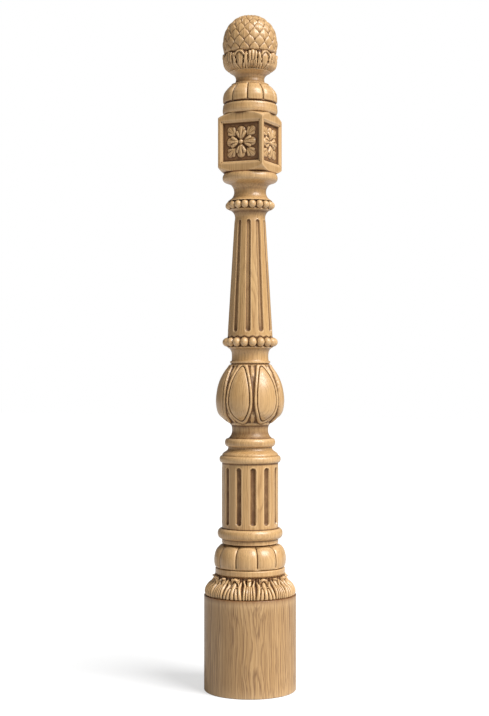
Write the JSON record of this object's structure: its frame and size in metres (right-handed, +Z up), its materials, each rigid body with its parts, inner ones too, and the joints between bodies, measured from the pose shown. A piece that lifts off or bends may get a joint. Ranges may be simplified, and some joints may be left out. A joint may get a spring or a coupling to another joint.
{
  "type": "newel post",
  "caption": "Turned and carved wooden newel post with a plain drum base, leaf collar, fluted shafts, carved egg, beads, square rosette block and pine cone finial.",
  "frame": {"origin": "centre of the drum's underside, where the post stands", "axes": "+Z up along the turning axis; the square block's faces look along +X, -X, +Y and -Y"},
  "size_m": [0.164, 0.164, 1.1995],
  "materials": {
    "oak_drum": "satin lacquered oak, strong upright grain",
    "oak_turned": "satin lacquered oak, turned smooth",
    "oak_carved": "satin lacquered oak, carved, brown glaze left in the hollows"
  },
  "bodies": {
    "root": {"base_drum": "oak_drum", "leaf_collar": "oak_carved", "lower_shaft": "oak_turned", "upper_shaft": "oak_turned", "rosette_block": "oak_carved", "finial": "oak_carved"}
  },
  "joints": []
}
